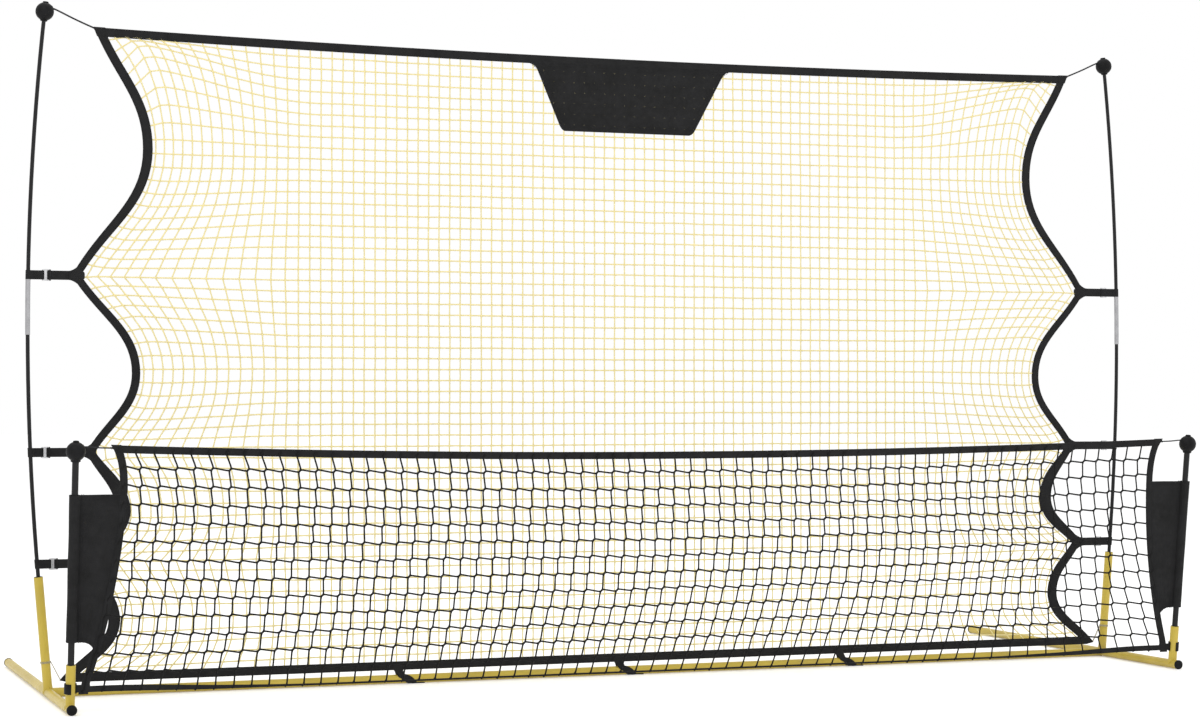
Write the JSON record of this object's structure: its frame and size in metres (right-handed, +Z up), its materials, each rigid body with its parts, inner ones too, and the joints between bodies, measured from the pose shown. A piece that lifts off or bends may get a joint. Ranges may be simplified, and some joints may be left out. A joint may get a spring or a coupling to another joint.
{
  "type": "pitch back rebounder",
  "caption": "Double rebounder for ball games: a tall mesh net strapped to bowed poles, a low front net on short posts, and a steel tube ground frame",
  "frame": {"origin": "on the ground, at the middle of the object's outer box", "axes": "+X across the object, +Y to the rear, +Z up"},
  "size_m": [2.1938, 0.8818, 1.2164],
  "materials": {
    "yellow_steel": "satin",
    "bare_steel": "satin",
    "black_rod": "satin",
    "black_plastic": "satin",
    "black_webbing": "matte",
    "black_cloth": "matte",
    "black_netting": "matte",
    "pale_netting": "matte",
    "black_elastic": "matte",
    "pale_elastic": "matte"
  },
  "bodies": {
    "root": {"tee_left": "yellow_steel", "tee_right": "yellow_steel", "front_foot_left": "yellow_steel", "front_foot_right": "yellow_steel", "rear_foot_left": "yellow_steel", "rear_foot_right": "yellow_steel", "cross_tube_left": "yellow_steel", "cross_tube_right": "yellow_steel", "cross_joiner": "bare_steel", "front_plug_left": "black_plastic", "front_plug_right": "black_plastic", "rear_plug_left": "black_plastic", "rear_plug_right": "black_plastic", "stub_spring_left": "bare_steel", "stub_spring_right": "bare_steel", "centre_spring_left": "bare_steel", "centre_spring_right": "bare_steel", "pole_bush_left": "black_plastic", "pole_bush_right": "black_plastic", "post_bush_left": "black_plastic", "post_bush_right": "black_plastic", "lower_pole_left": "black_rod", "lower_pole_right": "black_rod", "upper_pole_left": "black_rod", "upper_pole_right": "black_rod", "ferrule_left": "bare_steel", "ferrule_right": "bare_steel", "front_post_left": "black_rod", "front_post_right": "black_rod", "pole_cap_cord_left": "black_elastic", "pole_cap_cord_right": "black_elastic", "post_cap_cord_left": "black_elastic", "post_cap_cord_right": "black_elastic", "corner_cords": "pale_elastic", "rebound_net": "pale_netting", "net_binding": "black_webbing", "header_panel": "black_cloth", "side_straps_left": "black_webbing", "side_straps_right": "black_webbing", "ground_straps": "black_webbing", "front_net": "black_netting", "front_net_binding": "black_webbing", "side_panel_left": "black_cloth", "side_panel_right": "black_cloth", "corner_clip_left": "black_plastic", "corner_clip_right": "black_plastic"},
    "stub_button_left": {"stub_button_left": "bare_steel"},
    "centre_button_left": {"centre_button_left": "bare_steel"},
    "pole_cap_left": {"pole_cap_left": "black_plastic"},
    "post_cap_left": {"post_cap_left": "black_plastic"},
    "upper_slider_left": {"upper_slider_left": "bare_steel"},
    "middle_slider_left": {"middle_slider_left": "bare_steel"},
    "lower_slider_left": {"lower_slider_left": "bare_steel"},
    "stub_button_right": {"stub_button_right": "bare_steel"},
    "centre_button_right": {"centre_button_right": "bare_steel"},
    "pole_cap_right": {"pole_cap_right": "black_plastic"},
    "post_cap_right": {"post_cap_right": "black_plastic"},
    "upper_slider_right": {"upper_slider_right": "bare_steel"},
    "middle_slider_right": {"middle_slider_right": "bare_steel"},
    "lower_slider_right": {"lower_slider_right": "bare_steel"}
  },
  "joints": [
    {"name": "stub_button_left_press", "type": "slide", "parent": "root", "child": "stub_button_left", "axis": [0, -1, 0], "range_m": [0, 0.0045], "stiffness_N_per_m": 1200, "springref_m": -0.002, "deforming": ["stub_spring_left"]},
    {"name": "centre_button_left_press", "type": "slide", "parent": "root", "child": "centre_button_left", "axis": [0, -1, 0], "range_m": [0, 0.0045], "stiffness_N_per_m": 1200, "springref_m": -0.002, "deforming": ["centre_spring_left"]},
    {"name": "pole_cap_left_pull", "type": "slide", "parent": "root", "child": "pole_cap_left", "axis": [0.1029, 0, 0.9947], "range_m": [0, 0.02], "deforming": ["pole_cap_cord_left"]},
    {"name": "post_cap_left_pull", "type": "slide", "parent": "root", "child": "post_cap_left", "axis": [0, -0.1323, 0.9912], "range_m": [0, 0.02], "deforming": ["post_cap_cord_left"]},
    {"name": "upper_slider_left_slide", "type": "slide", "parent": "root", "child": "upper_slider_left", "axis": [-1, 0, 0], "range_m": [-0.025, 0.008]},
    {"name": "middle_slider_left_slide", "type": "slide", "parent": "root", "child": "middle_slider_left", "axis": [-1, 0, 0], "range_m": [-0.025, 0.008]},
    {"name": "lower_slider_left_slide", "type": "slide", "parent": "root", "child": "lower_slider_left", "axis": [-1, 0, 0], "range_m": [-0.025, 0.008]},
    {"name": "stub_button_right_press", "type": "slide", "parent": "root", "child": "stub_button_right", "axis": [0, -1, 0], "range_m": [0, 0.0045], "stiffness_N_per_m": 1200, "springref_m": -0.002, "deforming": ["stub_spring_right"]},
    {"name": "centre_button_right_press", "type": "slide", "parent": "root", "child": "centre_button_right", "axis": [0, -1, 0], "range_m": [0, 0.0045], "stiffness_N_per_m": 1200, "springref_m": -0.002, "deforming": ["centre_spring_right"]},
    {"name": "pole_cap_right_pull", "type": "slide", "parent": "root", "child": "pole_cap_right", "axis": [-0.1029, 0, 0.9947], "range_m": [0, 0.02], "deforming": ["pole_cap_cord_right"]},
    {"name": "post_cap_right_pull", "type": "slide", "parent": "root", "child": "post_cap_right", "axis": [0, -0.1323, 0.9912], "range_m": [0, 0.02], "deforming": ["post_cap_cord_right"]},
    {"name": "upper_slider_right_slide", "type": "slide", "parent": "root", "child": "upper_slider_right", "axis": [1, 0, 0], "range_m": [-0.025, 0.008]},
    {"name": "middle_slider_right_slide", "type": "slide", "parent": "root", "child": "middle_slider_right", "axis": [1, 0, 0], "range_m": [-0.025, 0.008]},
    {"name": "lower_slider_right_slide", "type": "slide", "parent": "root", "child": "lower_slider_right", "axis": [1, 0, 0], "range_m": [-0.025, 0.008]}
  ]
}
